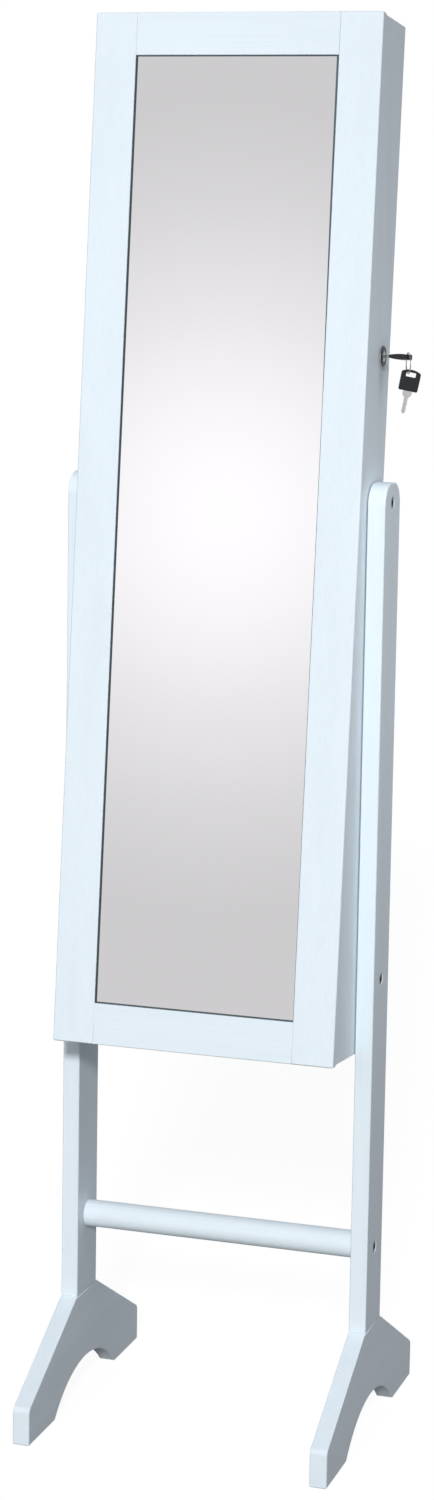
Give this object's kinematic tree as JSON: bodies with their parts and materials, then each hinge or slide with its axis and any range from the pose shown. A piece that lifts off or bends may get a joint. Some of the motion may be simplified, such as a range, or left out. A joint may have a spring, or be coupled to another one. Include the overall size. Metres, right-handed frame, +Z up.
{
  "type": "jewelry mirror cabinet",
  "caption": "Free-standing jewelry cabinet with a full-length mirror door, tilting on pivots between the posts of a painted stand; the door locks with a key.",
  "frame": {"origin": "on the floor, under the middle of the bounding box of the whole object, the keys in the side included", "axes": "+Z up, the mirror faces -Y, +X to the right of someone looking at the mirror; the lock is on the +X side"},
  "size_m": [0.3716, 0.344, 1.5052],
  "materials": {
    "white_paint": "white satin paint over fine-grained board",
    "mirror": "silvered glass",
    "steel": "zinc plated",
    "chrome": "polished",
    "brass": "turned",
    "black_plastic": "satin moulded",
    "nylon": "plain",
    "velvet": "short black pile",
    "acrylic": "clear",
    "board": "covered in short black pile"
  },
  "bodies": {
    "stand": {"left_post": "white_paint", "left_foot": "white_paint", "left_foot_screw": "steel", "left_lower_bar_screw": "steel", "left_stop_bar_screw": "steel", "right_post": "white_paint", "right_foot": "white_paint", "right_foot_screw": "steel", "right_lower_bar_screw": "steel", "right_stop_bar_screw": "steel", "lower_crossbar": "white_paint", "stop_crossbar": "white_paint"},
    "cabinet": {"left_side_panel": "white_paint", "right_side_panel": "white_paint", "top_panel": "white_paint", "bottom_panel": "white_paint", "back_panel": "white_paint", "upper_shelf": "white_paint", "middle_shelf": "white_paint", "lower_shelf": "white_paint", "middle_shelf_fence": "acrylic", "lower_shelf_fence": "acrylic", "necklace_rail": "black_plastic", "earring_board": "velvet", "ring_cushion": "velvet", "bracelet_bar": "velvet", "magnetic_catch": "black_plastic", "left_pivot_screw": "steel", "left_pivot_washer": "nylon", "left_pivot_insert": "brass", "right_pivot_screw": "steel", "right_pivot_washer": "nylon", "right_pivot_insert": "brass", "lock_housing": "chrome", "lock_nut": "steel", "lower_hinge_cabinet_leaf": "steel", "lower_hinge_pin": "steel", "middle_hinge_cabinet_leaf": "steel", "middle_hinge_pin": "steel", "upper_hinge_cabinet_leaf": "steel", "upper_hinge_pin": "steel"},
    "door": {"left_stile": "white_paint", "right_stile": "white_paint", "top_rail": "white_paint", "bottom_rail": "white_paint", "mirror": "mirror", "door_backing": "board", "catch_plate": "steel", "lock_strike": "steel", "lower_hinge_door_leaf": "steel", "middle_hinge_door_leaf": "steel", "upper_hinge_door_leaf": "steel"},
    "lock_plug": {"lock_plug": "chrome", "lock_cam": "steel", "cam_screw": "steel"},
    "key": {"key_blade": "chrome", "key_head": "black_plastic"},
    "key_ring": {"key_ring": "chrome"},
    "spare_key": {"spare_key_blade": "chrome", "spare_key_head": "black_plastic"}
  },
  "joints": [
    {"name": "cabinet_tilt", "type": "hinge", "parent": "stand", "child": "cabinet", "pos_m": [0, 0, 1.007], "axis": [-1, 0, 0], "range_deg": [0, 12]},
    {"name": "door_hinge", "type": "hinge", "parent": "cabinet", "child": "door", "pos_m": [-0.16728, -0.04836, 0.96645], "axis": [0, -0.0958, -0.9954], "range_deg": [0, 110]},
    {"name": "lock_turn", "type": "hinge", "parent": "cabinet", "child": "lock_plug", "pos_m": [0.15022, 0.01502, 1.15675], "axis": [-1, 0, 0], "range_deg": [0, 90]},
    {"name": "key_slide", "type": "slide", "parent": "lock_plug", "child": "key", "axis": [1, 0, 0], "range_m": [0, 0.018]},
    {"name": "ring_swing", "type": "hinge", "parent": "key", "child": "key_ring", "pos_m": [0.17292, 0.00805, 1.15742], "axis": [0.4384, -0.8988, 0], "range_deg": [-15, 15]},
    {"name": "spare_key_swing", "type": "hinge", "parent": "key_ring", "child": "spare_key", "pos_m": [0.17292, 0.00805, 1.14012], "axis": [0.4384, -0.8988, 0], "range_deg": [-23, 30]}
  ]
}
